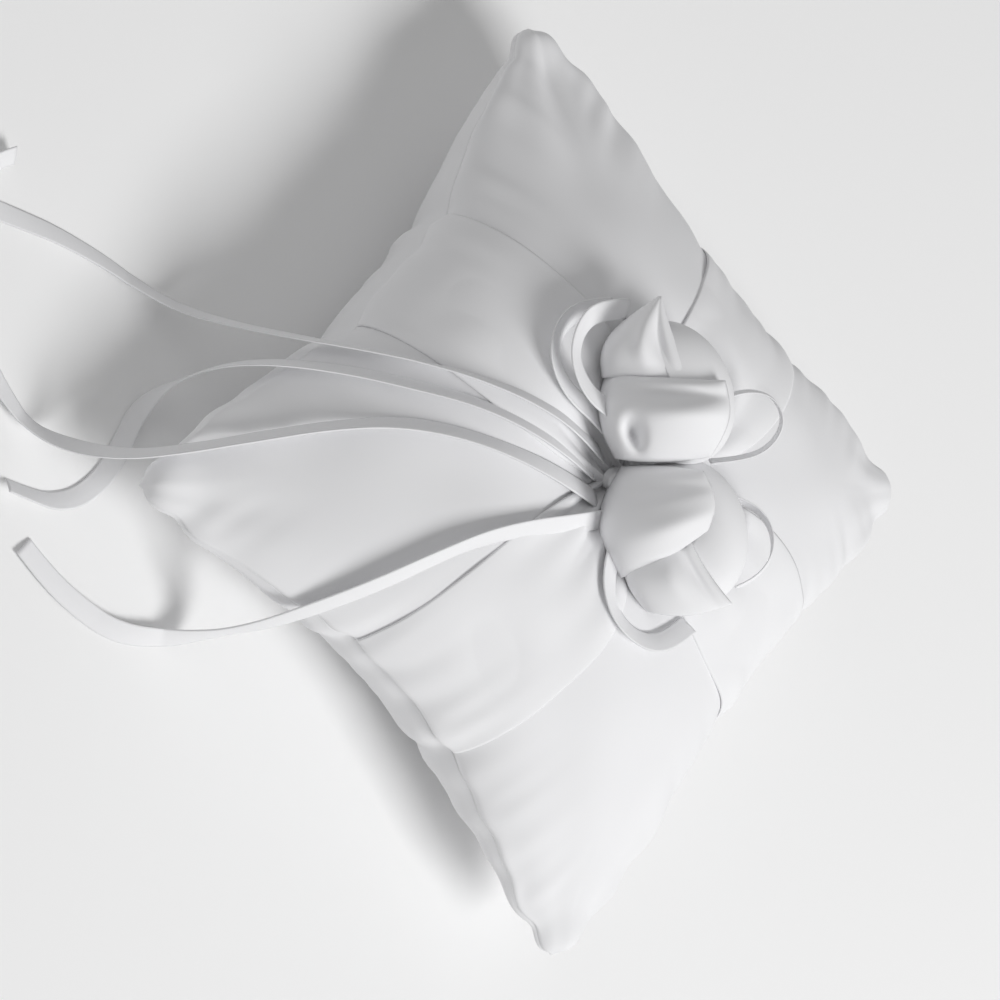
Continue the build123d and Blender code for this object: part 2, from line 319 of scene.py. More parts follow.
def seam_drift(p, q):
    """How the whole seam wanders: a small in-plane and vertical drift that fades inwards, and
    notches where the band edges are caught in the seam."""
    tip = sizes()[0]
    edge = (1 - np.maximum(abs(p), abs(q))) * tip
    side = np.where(abs(p) > abs(q), np.where(p > 0, 1, 2), np.where(q > 0, 3, 4))
    along = np.where(abs(p) > abs(q), q, p) * tip
    corner = 1 - step(abs(along), tip - 22, tip - 4)
    out, up = np.zeros(edge.shape), np.zeros(edge.shape)
    for number, notches in ((1, (-23, 22)), (2, (-18, 28)), (3, (-30, 15)), (4, (-25, 21))):
        here = side == number
        out += here * corner * 0.9 * waves(along, 40 + number, 60, 12)
        up += here * corner * 1.2 * waves(along, 50 + number, 70, 14)
        for notch in notches:
            out -= here * 2.2 * np.exp(-(((along - notch) / 5) ** 2))
    reach = np.hypot((1 - abs(p)) * tip, (1 - abs(q)) * tip)
    out -= 1.7 * np.exp(-(((reach - 15) / 5) ** 2))
    fade = np.exp(-edge / 9)
    across_x = step(abs(p) - abs(q), -0.05, 0.05)
    direction = np.stack([np.sign(p) * across_x, np.sign(q) * (1 - across_x), 0 * p], -1)
    drift = direction * (out * fade)[..., None]
    tuck = 2.2 * np.exp(-((reach / 5) ** 2))
    drift -= np.stack([np.sign(p) * tuck, np.sign(q) * tuck, 0 * p], -1)
    drift[..., 2] += up * fade
    return drift


def folds(p, q, top):
    """Height of the cloth's folds above the smooth form, in mm: puckers that run in from the
    seam, folds that fan out of each tip, gathers round the knot, and broad soft dents."""
    tip = sizes()[0]
    x, y = p * tip, q * tip
    edge = (1 - np.maximum(abs(p), abs(q))) * tip
    along = np.where(abs(p) > abs(q), q, p) * tip
    side = np.where(abs(p) > abs(q), np.where(p > 0, 1, 2), np.where(q > 0, 3, 4))
    seed = 0 if top else 100
    height = np.zeros(edge.shape)
    shape = (edge / 6) * np.exp(1 - edge / 6)
    mitre = step(abs(abs(p) - abs(q)) * tip, 2, 14)
    for number in (1, 2, 3, 4):
        ripple = waves(along, seed + number, 26, 7)
        envelope = 0.55 + 0.45 * waves(along, seed + 10 + number, 90, 30)
        height += (side == number) * shape * mitre * ripple * envelope * 0.75
    for number, (sx, sy, depth) in enumerate(
        ((1, -1, 0.7), (-1, -1, 1.5), (1, 1, 1.0), (-1, 1, 0.6))
    ):
        dx, dy = sx * tip - x, sy * tip - y
        reach = np.hypot(dx, dy)
        angle = np.arctan2(dy * sy, dx * sx) - math.pi / 4
        fan = waves(angle * 60, seed + 20 + number, 120, 30, 6)
        height += depth * fan * (reach / 24) ** 2 * np.exp(2 - 2 * reach / 24)
        height += 3.4 * np.exp(-(((reach - 8) / 6.5) ** 2))
    height += 0.5 * swells(x, y, seed + 31, 70, 28) * step(edge, 4, 30)
    if top:
        turn = np.arctan2(y, x)
        reach = np.hypot(x, y)
        height += 0.9 * np.sin(11 * turn + 2 * np.sin(3 * turn)) * np.exp(-(((reach - 17) / 9) ** 2))
    return height * (1 - np.exp(-edge / 2.5))


def skin(p, q, top=True):
    """Cushion skin with its folds: the smooth form moved along its own normal by the folds, and
    drawn in at the seam to a narrow groove."""
    tip, _, rise, drop = sizes()
    p, q = np.broadcast_arrays(np.asarray(p, float), np.asarray(q, float))
    lift = rise if top else -drop
    e = 2e-3
    pc, qc = np.clip(p, -1 + e, 1 - e), np.clip(q, -1 + e, 1 - e)
    along_p = cushion_point(pc + e, qc, lift) - cushion_point(pc - e, qc, lift)
    along_q = cushion_point(pc, qc + e, lift) - cushion_point(pc, qc - e, lift)
    normal = unit(np.cross(along_p, along_q)) * (1 if top else -1)
    points = cushion_point(p, q, lift) + normal * folds(p, q, top)[..., None]
    points = points + seam_drift(p, q)
    edge = (1 - np.maximum(abs(p), abs(q))) * tip
    groove = 1.3 * np.exp(-((edge / 0.35) ** 1.2))
    inward = -unit(points * np.array([1, 1, 0]) + 1e-9)
    points = points + inward * groove[..., None]
    if not top:
        points[..., 2] = np.maximum(points[..., 2], 0)
    return points, normal


def panel_grid(count):
    """Even places from -1 to 1 that crowd towards both ends."""
    return np.sin(math.pi / 2 * np.linspace(-1, 1, count))


class PILLOW_OT_panels(bpy.types.Operator):
    """Two satin panels and the filling between them"""

    bl_idname = "pillow.panels"
    bl_label = "Cushion"

    def execute(self, context):
        """The panels are grids of the skin; the filling is the same form 1.5 mm inside."""
        settings = context.scene.pillow_cushion
        cloth = satin("cushion_satin", settings.panel_colour, 0.45, 0.16, 0.6, 0.05, 0.3)
        count = 180
        p, q = np.meshgrid(panel_grid(count), panel_grid(count), indexing="ij")
        uv = np.stack([p, q], -1) * 0.1015
        for name, top in (("front_panel_cloth", True), ("back_panel_cloth", False)):
            points, _ = skin(p, q, top)
            quads = grid_quads(count, count)
            piece = make_piece(
                name, points, quads if top else quads[:, ::-1], cloth, uv
            )
            thicken(piece, 0.5)
            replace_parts(piece, name.replace("_cloth", ""))
        fill = fibre("polyester_fibre")
        count = 70
        p, q = np.meshgrid(panel_grid(count), panel_grid(count), indexing="ij")
        halves, faces = [], []
        for top in (True, False):
            points, normal = skin(p, q, top)
            inner = points * np.array([0.975, 0.975, 1]) - normal * 1.4
            if not top:
                inner[..., 2] = np.maximum(inner[..., 2], 1.2)
            halves.append(inner.reshape(-1, 3))
            quads = grid_quads(count, count) + (0 if top else count * count)
            faces.append(quads if top else quads[:, ::-1])
        rim = np.zeros((count, count), bool)
        rim[[0, -1]] = rim[:, [0, -1]] = True
        middle = (halves[0] + halves[1])[rim.ravel()] / 2
        halves[0][rim.ravel()] = halves[1][rim.ravel()] = middle
        piece = make_piece(
            "filling", np.concatenate(halves), np.concatenate(faces), fill
        )
        weld(piece)
        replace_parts(piece, "fibre_fill")
        return {"FINISHED"}


def weld(piece, distance=0.02):
    """Merges doubled points and turns the faces outwards."""
    bm = bmesh.new()
    bm.from_mesh(piece.data)
    bmesh.ops.remove_doubles(bm, verts=bm.verts, dist=distance * MM)
    bmesh.ops.recalc_face_normals(bm, faces=bm.faces)
    bm.to_mesh(piece.data)
    bm.free()


# ---- wide bands ------------------------------------------------------------------------------
BAND_SHIFTS = {"band_ribbon_x": (5.0, 0.0), "band_ribbon_y": (-2.0, -7.0)}


class PILLOW_OT_bands(bpy.types.Operator):
    """Two wide satin bands that cross under the rosebuds"""

    bl_idname = "pillow.bands"
    bl_label = "Wide bands"

    def execute(self, context):
        """A band follows the cushion skin at a small lift. Its half width narrows to the gathers
        as 1 - exp(-(distance / 24)^1.6), and pleats run out of the gathers and fade."""
        settings = context.scene.pillow_cushion
        cloth = satin("band_satin", settings.band_colour, 0.29, 0.75, 0.15, 0.03, 0.7)
        tip = sizes()[0]
        wide = settings.band_width / MM / 2
        for name, along_x, crossing in (
            ("band_ribbon_x", True, 0.0), ("band_ribbon_y", False, 1.0)
        ):
            s = panel_grid(300)[:, None] * 0.997
            v = np.linspace(-1, 1, 61)[None, :]
            reach = abs(s) * tip
            half = 5 + (wide - 5) * (1 - np.exp(-((reach / 24) ** 1.6)))
            low, high = BAND_SHIFTS[name]
            across = (np.where(s < 0, low, high) * s * s + v * half) / tip
            p, q = (s + 0 * v, across) if along_x else (across, s + 0 * v)
            points, normal = skin(p, q)
            gather = np.exp(-((reach / 30) ** 2))
            pleats = 1.5 * gather * np.sin(3.5 * math.pi * (v + 1) + 0.02 * reach)
            roll = (1 - abs(v) ** 14) * 0.25
            sway = 0.6 * swells(s * tip, v * wide, 61 if along_x else 71, 60, 22)
            sway = sway * step(reach, 12, 40) * (1 - step(reach, 74, 90)) * (1 - 0.5 * abs(v))
            lift = 0.65 + roll + np.maximum(pleats, -0.3) + np.maximum(sway, -0.3)
            points = points + normal * lift[..., None]
            points[..., 2] += crossing * np.exp(-(reach / 16) ** 2)
            uv = np.stack([s * 0.11 + 0 * v, v * half * MM], -1)
            quads = grid_quads(*p.shape)
            piece = make_piece(
                name + "_cloth", points, quads if along_x else quads[:, ::-1], cloth,
                uv,
            )
            thicken(piece, 0.4)
            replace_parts(piece, name)
        return {"FINISHED"}


# ---- narrow ribbons --------------------------------------------------------------------------
def smooth_line(name, route):
    """Points of a smooth NURBS line with the route's points as its control points, in mm."""
    curve = bpy.data.curves.new(name, "CURVE")
    curve.dimensions = "3D"
    curve.resolution_u = 14
    line = curve.splines.new("NURBS")
    line.points.add(len(route) - 1)
    for point, place in zip(line.points, route):
        point.co = (place[0] * MM, place[1] * MM, place[2] * MM, 1.0)
    line.order_u = 3
    line.use_endpoint_u = True
    holder = bpy.data.objects.new(name, curve)
    bpy.context.scene.collection.objects.link(holder)
    bpy.context.view_layer.update()
    mesh = bpy.data.meshes.new_from_object(holder)
    points = np.zeros(len(mesh.vertices) * 3)
    mesh.vertices.foreach_get("co", points)
    bpy.data.objects.remove(holder)
    bpy.data.curves.remove(curve)
    bpy.data.meshes.remove(mesh)
    return points.reshape(-1, 3) / MM


def outward(points):
    """Direction away from the cushion: up on top of it and over the floor, and sideways beside
    it."""
    radius = np.hypot(points[:, 0], points[:, 1])
    beside = step(radius, 60, 100) * step(points[:, 2], 4, 22) * (1 - step(points[:, 2], 62, 84))
    level = unit(points * np.array([1, 1, 0]) + 1e-9)
    return unit(level * (2.2 * beside)[:, None] + np.array([0, 0, 1.0]))


FLOOR_CLEARANCE = 0.1    # mm that a ribbon's lowest edge keeps above the floor


def ribbon_mesh(points, turns, width, sag, hoop):
    """Flat ribbon along a line. Its profile is a thin slip, crowned by 4 per cent of its width,
    with a firmer edge along each side; the face turns about the line by the given angles, and the
    whole sits sag mm nearer to the cushion. A section that would sink into the floor is lifted
    whole. A hoop's face looks away from the hoop's middle."""
    tangent = unit(np.gradient(points, axis=0))
    if hoop:
        middle = points.mean(0)
        face = unit(points - middle)
        face = face - (face * tangent).sum(-1, keepdims=True) * tangent
        face = unit(face)
    else:
        face = outward(points)
        face = unit(face - (face * tangent).sum(-1, keepdims=True) * tangent)
    side = np.cross(tangent, face)
    if turns is not None:
        place = np.linspace(0, 1, len(points))
        angle = np.radians(np.interp(place, np.linspace(0, 1, len(turns)), turns))
        kernel = np.hanning(15) / np.hanning(15).sum()
        angle = np.convolve(np.pad(angle, 7, mode="edge"), kernel, mode="valid")[:, None]
        face, side = (
            np.cos(angle) * face + np.sin(angle) * side,
            np.cos(angle) * side - np.sin(angle) * face,
        )
    centre = points - outward(points) * sag
    v = np.linspace(-1, 1, 11)
    crown = 0.04 * width * (1 - v * v)
    wall = 0.13 + 0.09 * (abs(v) > 0.85)
    across = np.concatenate([v, v[::-1]]) * width / 2
    height = np.concatenate([crown + wall, (crown - wall)[::-1]])
    grid = (
        centre[:, None, :]
        + across[None, :, None] * side[:, None, :]
        + height[None, :, None] * face[:, None, :]
    )
    sunk = np.maximum(FLOOR_CLEARANCE - grid[..., 2].min(1, keepdims=True), 0)
    grid[..., 2] += sunk
    run = np.concatenate([[0], np.cumsum(np.linalg.norm(np.diff(points, axis=0), axis=1))])
    uv = np.stack(np.broadcast_arrays(run[:, None] * MM, across[None, :] * MM), -1)
    return grid, uv


class PILLOW_OT_ribbons(bpy.types.Operator):
    """Bow loops and free tails of narrow ribbon"""

    bl_idname = "pillow.ribbons"
    bl_label = "Narrow ribbons"

    def execute(self, context):
        """Each ribbon is a thin profile carried along its smooth line, closed at both ends."""
        settings = context.scene.pillow_bow
        cloth = satin("narrow_ribbon_satin", settings.ribbon_colour, 0.33, 0.42, 0.2, 0.04, 0.12)
        width = settings.ribbon_width / MM
        for name, ribbon in RIBBONS.items():
            line = smooth_line(name, ribbon["route"])
            grid, uv = ribbon_mesh(
                line, ribbon["turns"], width, ribbon["sag"], ribbon["turns"] is None
            )
            rows, columns = grid.shape[:2]
            faces = [tuple(q) for q in grid_quads(rows, columns, closed=True)]
            faces.append(tuple(range(columns))[::-1])
            faces.append(tuple(range((rows - 1) * columns, rows * columns)))
            piece = make_piece(name + "_cloth", grid, faces, cloth, uv)
            fix_normals(piece)
            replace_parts(piece, name)
        return {"FINISHED"}


def fix_normals(piece):
    """Turns a closed piece's faces outwards."""
    bm = bmesh.new()
    bm.from_mesh(piece.data)
    bmesh.ops.recalc_face_normals(bm, faces=bm.faces)
    bm.to_mesh(piece.data)
    bm.free()


# ---- rosebuds --------------------------------------------------------------------------------
# Axes of the side that the rosebuds open towards: across, up and out.
ACROSS = np.array([0.7, 0.71209, -0.05402])
UP = np.array([-0.54506, 0.58161, 0.60385])
OUT = np.array([0.46142, -0.39326, 0.79526])
LEFT_CENTRE = np.array([-17.0, -21.0, 89.0])
RIGHT_CENTRE = np.array([8.0, 13.0, 86.0])


# Front and side petals: corners as (across, up, out) in mm from the bud's centre, in the order
# foot left, foot right, top right, top left. Arches bow the foot, right, top and left edges
# outwards. A fold is (u, v, reach along u, reach along v, height); a negative height is a valley.
PETALS = {
    "left_bud_front_petal": dict(
        bud=LEFT_CENTRE,
        corners=[(-1.5, -17, 2), (22, -14.5, 0), (21.5, 11.5, 1), (1, 15, 8)],
        arches=(3.5, 1.5, 3, 0), bulge=12, tuck=8,
        folds=[(0.2, 0.6, 0.09, 0.35, -3), (0.45, 0.7, 0.14, 0.4, 2), (0.68, 0.26, 0.16, 0.07, -8)],
    ),
    "left_bud_side_petal": dict(
        bud=LEFT_CENTRE,
        corners=[(-22, -3, 1), (0, -18, 3), (1, 7, 7), (-22, -2, 2)],
        arches=(6, 0, -1, 0), bulge=6, tuck=5,
        folds=[(0.55, 0.75, 0.3, 0.08, -2.5), (0.6, 0.5, 0.3, 0.12, 2)],
    ),
    "right_bud_front_petal": dict(
        bud=RIGHT_CENTRE,
        corners=[(-18, -17, 1), (13, -18, 1), (-0.5, 6, 13), (-16.5, 5, 9)],
        arches=(6, 1.5, 2.5, 1), bulge=10, tuck=8,
        folds=[(0.25, 0.55, 0.1, 0.4, -1.5), (0.7, 0.6, 0.15, 0.35, 2)],
    ),
    "right_bud_side_petal": dict(
        bud=RIGHT_CENTRE,
        corners=[(8.5, -17, 2), (22, -10, -1), (19.5, 13, 6), (1, 1, 8)],
        arches=(1.5, 2, -1, 0), bulge=6.5, tuck=4,
        folds=[(0.5, 0.85, 0.4, 0.06, -1.5), (0.45, 0.55, 0.3, 0.15, 1.5)],
    ),
}
# Back petals: half widths across and up, how far they reach out in front and behind, and lean.
BACK_PETALS = {
    "left_bud_back_petal": dict(
        bud=LEFT_CENTRE, middle=(4, 2), half=(18.5, 15.5), front=7.5, behind=15, lean=0.25
    ),
    "right_bud_back_petal": dict(
        bud=RIGHT_CENTRE, middle=(0.5, 0.5), half=(20, 16.5), front=7, behind=16, lean=0.1
    ),
}
BACK_SWEEP = (-40, 215)    # the back petals go round between these angles, open at the foot


def folded_petal(corners, arches, bulge, tuck, folds, samples=60):
    """Petal over u and v from 0 to 1: the bilinear patch of its corners, its edges bowed by
    arch * sin(pi t), puffed out by bulge * sqrt(sin(pi u) sin(pi v)), with each fold added as
    height * exp(-((u - a) / r)^2 - ((v - b) / s)^2) and the foot tucked in by tuck * exp(-20 v)."""
    u, v = np.meshgrid(np.linspace(0, 1, samples), np.linspace(0, 1, samples))
    foot_left, foot_right, top_right, top_left = (np.array(c, float) for c in corners)
    foot, right, top, left = arches
    foot_line = foot_left + u[..., None] * (foot_right - foot_left)
    top_line = top_left + u[..., None] * (top_right - top_left)
    place = foot_line + v[..., None] * (top_line - foot_line)
    over_u, over_v = np.sin(math.pi * u).clip(0), np.sin(math.pi * v).clip(0)
    place[..., 0] += (right * u - left * (1 - u)) * over_v
    place[..., 1] += (top * v - foot * (1 - v)) * over_u
    place[..., 2] += bulge * np.sqrt(over_u * over_v) - tuck * np.exp(-20 * v)
    for a, b, reach_u, reach_v, height in folds:
        place[..., 2] += height * np.exp(-(((u - a) / reach_u) ** 2) - ((v - b) / reach_v) ** 2)
    return place


def cupped_petal(middle, half, front, behind, lean, samples=60):
    """Cup over an angle t and a level w from 0 to 1: the radius is half * sin(pi w)^0.6 and it
    reaches from front to -behind along a cosine; across leans by lean times up."""
    angle, level = np.meshgrid(
        np.radians(np.linspace(*BACK_SWEEP, samples)), np.linspace(0.004, 0.97, samples)
    )
    ring = np.sin(math.pi * level) ** 0.6
    up = half[1] * ring * np.sin(angle)
    across = half[0] * ring * np.cos(angle) + lean * up
    out = (front - behind) / 2 + (front + behind) / 2 * np.cos(math.pi * level)
    return np.stack([middle[0] + across, middle[1] + up, out], -1)


def petal(name, local, centre, material):
    """Petal piece with a thin wall, from (across, up, out) places round its bud's centre."""
    rows, columns = local.shape[:2]
    points = centre + local @ np.stack([ACROSS, UP, OUT])
    u, v = np.meshgrid(np.linspace(0, 1, rows), np.linspace(0, 1, columns), indexing="ij")
    piece = make_piece(
        name + "_cloth", points, grid_quads(rows, columns), material,
        np.stack([v, u], -1) * 0.04,
    )
    thicken(piece, bpy.context.scene.pillow_bow.petal_thickness / MM)
    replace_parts(piece, name)
    return piece


class PILLOW_OT_rosebuds(bpy.types.Operator):
    """Two folded satin rosebuds"""

    bl_idname = "pillow.rosebuds"
    bl_label = "Rosebuds"

    def execute(self, context):
        """Each bud has a front, a side and a back petal round a rolled heart."""
        cloth = satin(
            "petal_satin", context.scene.pillow_bow.petal_colour, 0.31, 0.55, 0.1, 0.03, 0.35
        )
        for form, petals in ((folded_petal, PETALS), (cupped_petal, BACK_PETALS)):
            for name, shape in petals.items():
                measures = {key: value for key, value in shape.items() if key != "bud"}
                petal(name, form(**measures), shape["bud"], cloth)
        for name in ("left_bud_heart", "right_bud_heart"):
            node_low, node_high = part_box(name)
            low, high = np.array(node_low) / MM, np.array(node_high) / MM
            middle = (low + high) / 2
            height = (high - low)[2]
            turn, level = np.meshgrid(np.linspace(0, 5.2 * math.pi, 130), np.linspace(0, 1, 14))
            radius = (1.2 + 6.2 * turn / (5.2 * math.pi)) * (0.35 + 0.65 * np.sin(level * 2.2))
            points = np.stack(
                [
                    middle[0] + radius * np.cos(turn),
                    middle[1] + radius * np.sin(turn),
                    low[2] + height * (0.02 + 0.5 * level),
                ],
                -1,
            )
            piece = make_piece(
                name + "_cloth", points, grid_quads(*turn.shape), cloth,
                np.stack([turn * 0.003, level * 0.02], -1),
            )
            thicken(piece, 0.4)
            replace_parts(piece, name)
        return {"FINISHED"}


# ---- knot, thread, pearls, stitches ----------------------------------------------------------
STITCHES = 13
STITCH_PITCH = 6.5
STITCH_REACH = 1.6
THREAD_RADIUS = 0.4
KNOT_SHARE = 0.75    # the pulled knot's size, as a share of its node's
KNOT_SINK = 1.5      # mm that it sits back between the buds


def stitch_row(material):
    """Slip stitches over the -X seam: each is a half ring of thread from below the seam to above
    it, (sin a, cos a) * STITCH_REACH over a from 0 to pi, swept with a round section."""
    along = (np.arange(STITCHES) - (STITCHES - 1) / 2) * STITCH_PITCH
    tip = sizes()[0]
    arc, turn = np.meshgrid(
        np.linspace(0, math.pi, 12), np.linspace(0, 2 * math.pi, 8, endpoint=False), indexing="ij"
    )
    reach = STITCH_REACH + THREAD_RADIUS * np.cos(turn)
    points, quads = [], []
    for y in along:
        seam, _ = skin(np.array([[-1.0]]), np.array([[y / tip]]), True)
        local = np.stack(
            [-reach * np.sin(arc) * 0.6, THREAD_RADIUS * np.sin(turn), -reach * np.cos(arc)], -1
        )
        points.append(seam.reshape(3) + local.reshape(-1, 3))
        quads.append(grid_quads(12, 8, closed=True) + len(quads) * arc.size)
    return make_piece(
        "closing_stitches_thread", np.concatenate(points), np.concatenate(quads), material,
    )


class PILLOW_OT_trims(bpy.types.Operator):
    """Ribbon knot, gathering thread, seed pearls and closing stitches"""

    bl_idname = "pillow.trims"
    bl_label = "Knot and trims"

    def execute(self, context):
        """The knot is a ball whose radius swells and dips in wrapped turns of ribbon. The thread and
        pearls keep their frame shapes and get their own finishes; the closing stitches are made anew
        in the thread's finish."""
        low, high = (np.array(corner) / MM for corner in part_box("ribbon_knot"))
        centre, radius = (low + high) / 2, (high - low)[2] / 2
        turn, level = np.meshgrid(
            np.linspace(0, 2 * math.pi, 72, endpoint=False), np.linspace(0, math.pi, 40)
        )
        wraps = 1 + 0.09 * np.sin(2 * turn + 6 * np.cos(level)) * np.sin(level) ** 0.5
        points = np.stack(
            [
                radius * wraps * np.sin(level) * np.cos(turn),
                radius * wraps * np.sin(level) * np.sin(turn),
                radius * wraps * np.cos(level) * 0.95,
            ],
            -1,
        )
        knot_cloth = bpy.data.materials["narrow_ribbon_satin"]
        piece = make_piece(
            "ribbon_knot_cloth", points * KNOT_SHARE + centre - OUT * KNOT_SINK,
            grid_quads(40, 72, closed=True), knot_cloth,
            np.stack([turn * 0.004, level * 0.004], -1),
        )
        weld(piece)
        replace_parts(piece, "ribbon_knot")
        thread = thread_material("sewing_thread")
        pearl = pearl_material("pearl")
        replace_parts(stitch_row(thread), "closing_stitches")
        for name, material in (("gathering_thread", thread), ("seed_pearls", pearl)):
            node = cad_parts[name]
            node.data.materials.clear()
            node.data.materials.append(material)
        return {"FINISHED"}


# ---- materials -------------------------------------------------------------------------------
def node_in(tree, kind, **inputs):
    """New shader node with some of its inputs set."""
    node = tree.nodes.new(kind)
    for name, value in inputs.items():
        node.inputs[name.replace("_", " ")].default_value = value
    return node


def weave_group():
    """Node group: a satin weave. Long floats run along V with fine breaks, over a soft grain; it
    puts out Height and Tone."""
    if "satin_weave" in bpy.data.node_groups:
        return bpy.data.node_groups["satin_weave"]
    tree = bpy.data.node_groups.new("satin_weave", "ShaderNodeTree")
    face = tree.interface
    face.new_socket("Vector", in_out="INPUT", socket_type="NodeSocketVector")
    face.new_socket("Grain", in_out="INPUT", socket_type="NodeSocketFloat")
    face.new_socket("Height", in_out="OUTPUT", socket_type="NodeSocketFloat")
    face.new_socket("Tone", in_out="OUTPUT", socket_type="NodeSocketFloat")
    start, end = tree.nodes.new("NodeGroupInput"), tree.nodes.new("NodeGroupOutput")
    threads = node_in(tree, "ShaderNodeTexWave", Scale=900.0, Distortion=1.5, Detail=1.0)
    threads.inputs["Detail Scale"].default_value = 3.0
    breaks = node_in(tree, "ShaderNodeTexNoise", Scale=1600.0, Detail=3.0, Roughness=0.6)
    slub = node_in(tree, "ShaderNodeTexNoise", Scale=420.0, Detail=2.0, Roughness=0.5)
    tree.links.new(start.outputs["Vector"], threads.inputs["Vector"])
    tree.links.new(start.outputs["Vector"], breaks.inputs["Vector"])
    tree.links.new(start.outputs["Vector"], slub.inputs["Vector"])
    mixed = tree.nodes.new("ShaderNodeMath")
    mixed.operation = "MULTIPLY_ADD"
    mixed.inputs[1].default_value = 0.35
    tree.links.new(threads.outputs["Fac"], mixed.inputs[0])
    grained = tree.nodes.new("ShaderNodeMath")
    grained.operation = "MULTIPLY"
    tree.links.new(breaks.outputs["Fac"], grained.inputs[0])
    tree.links.new(start.outputs["Grain"], grained.inputs[1])
    tree.links.new(grained.outputs[0], mixed.inputs[2])
    tree.links.new(mixed.outputs[0], end.inputs["Height"])
    tone = tree.nodes.new("ShaderNodeMath")
    tone.operation = "MULTIPLY_ADD"
    tone.inputs[1].default_value = 0.5
    tree.links.new(slub.outputs["Fac"], tone.inputs[0])
    half = tree.nodes.new("ShaderNodeMath")
    half.operation = "MULTIPLY"
    half.inputs[1].default_value = 0.5
    tree.links.new(breaks.outputs["Fac"], half.inputs[0])
    tree.links.new(half.outputs[0], tone.inputs[2])
    tree.links.new(tone.outputs[0], end.inputs["Tone"])
    return tree


def satin(name, colour, roughness, lustre, grain, tone, creases):
    """Satin: a weave and soft creases in its bump, a slight tone variation, and cloth sheen."""
    if name in bpy.data.materials:
        return bpy.data.materials[name]
    material = bpy.data.materials.new(name)
    material.use_nodes = True
    tree = material.node_tree
    shader = tree.nodes["Principled BSDF"]
    place = tree.nodes.new("ShaderNodeTexCoord")
    weave = tree.nodes.new("ShaderNodeGroup")
    weave.node_tree = weave_group()
    weave.inputs["Grain"].default_value = grain
    tree.links.new(place.outputs["UV"], weave.inputs["Vector"])
    ramp = tree.nodes.new("ShaderNodeMix")
    ramp.data_type = "RGBA"
    ramp.inputs["A"].default_value = (*[c * (1 - tone) for c in colour], 1)
    ramp.inputs["B"].default_value = (*[min(c * (1 + tone), 1) for c in colour], 1)
    tree.links.new(weave.outputs["Tone"], ramp.inputs["Factor"])
    tree.links.new(ramp.outputs["Result"], shader.inputs["Base Color"])
    soft = node_in(tree, "ShaderNodeTexNoise", Scale=70.0, Detail=2.0, Roughness=0.45)
    tree.links.new(place.outputs["Object"], soft.inputs["Vector"])
    crease = node_in(tree, "ShaderNodeBump", Strength=creases, Distance=0.0012)
    tree.links.new(soft.outputs["Fac"], crease.inputs["Height"])
    fine = node_in(tree, "ShaderNodeBump", Strength=0.35, Distance=0.00008)
    tree.links.new(weave.outputs["Height"], fine.inputs["Height"])
    tree.links.new(crease.outputs["Normal"], fine.inputs["Normal"])
    tree.links.new(fine.outputs["Normal"], shader.inputs["Normal"])
    vary = tree.nodes.new("ShaderNodeMapRange")
    vary.inputs["To Min"].default_value = roughness - 0.05
    vary.inputs["To Max"].default_value = roughness + 0.07
    tree.links.new(soft.outputs["Fac"], vary.inputs["Value"])
    tree.links.new(vary.outputs["Result"], shader.inputs["Roughness"])
    shader.inputs["Sheen Weight"].default_value = 0.25
    shader.inputs["Sheen Roughness"].default_value = 0.4
    shader.inputs["Specular IOR Level"].default_value = 0.6
    shader.inputs["Metallic"].default_value = lustre
    return material


def fibre(name):
    """Loose filling: fluffy tone and bump from noise."""
    material = bpy.data.materials.new(name)
    material.use_nodes = True
    tree = material.node_tree
    shader = tree.nodes["Principled BSDF"]
    place = tree.nodes.new("ShaderNodeTexCoord")
    fluff = node_in(tree, "ShaderNodeTexNoise", Scale=260.0, Detail=6.0, Roughness=0.7)
    tree.links.new(place.outputs["Object"], fluff.inputs["Vector"])
    ramp = tree.nodes.new("ShaderNodeMix")
    ramp.data_type = "RGBA"
    ramp.inputs["A"].default_value = (0.7, 0.7, 0.69, 1)
    ramp.inputs["B"].default_value = (0.88, 0.88, 0.87, 1)
    tree.links.new(fluff.outputs["Fac"], ramp.inputs["Factor"])
    tree.links.new(ramp.outputs["Result"], shader.inputs["Base Color"])
    bump = node_in(tree, "ShaderNodeBump", Strength=0.8, Distance=0.001)
    tree.links.new(fluff.outputs["Fac"], bump.inputs["Height"])
    tree.links.new(bump.outputs["Normal"], shader.inputs["Normal"])
    shader.inputs["Roughness"].default_value = 0.95
    return material


def thread_material(name):
    """Twisted polyester thread: a diagonal twist in tone and bump."""
    material = bpy.data.materials.new(name)
    material.use_nodes = True
    tree = material.node_tree
    shader = tree.nodes["Principled BSDF"]
    place = tree.nodes.new("ShaderNodeTexCoord")
    twist = node_in(tree, "ShaderNodeTexWave", Scale=1500.0, Distortion=0.5)
    twist.bands_direction = "DIAGONAL"
    tree.links.new(place.outputs["Object"], twist.inputs["Vector"])
    ramp = tree.nodes.new("ShaderNodeMix")
    ramp.data_type = "RGBA"
    ramp.inputs["A"].default_value = (0.62, 0.62, 0.62, 1)
    ramp.inputs["B"].default_value = (0.78, 0.78, 0.78, 1)
    tree.links.new(twist.outputs["Fac"], ramp.inputs["Factor"])
    tree.links.new(ramp.outputs["Result"], shader.inputs["Base Color"])
    bump = node_in(tree, "ShaderNodeBump", Strength=0.6, Distance=0.0002)
    tree.links.new(twist.outputs["Fac"], bump.inputs["Height"])
    tree.links.new(bump.outputs["Normal"], shader.inputs["Normal"])
    shader.inputs["Roughness"].default_value = 0.55
    return material


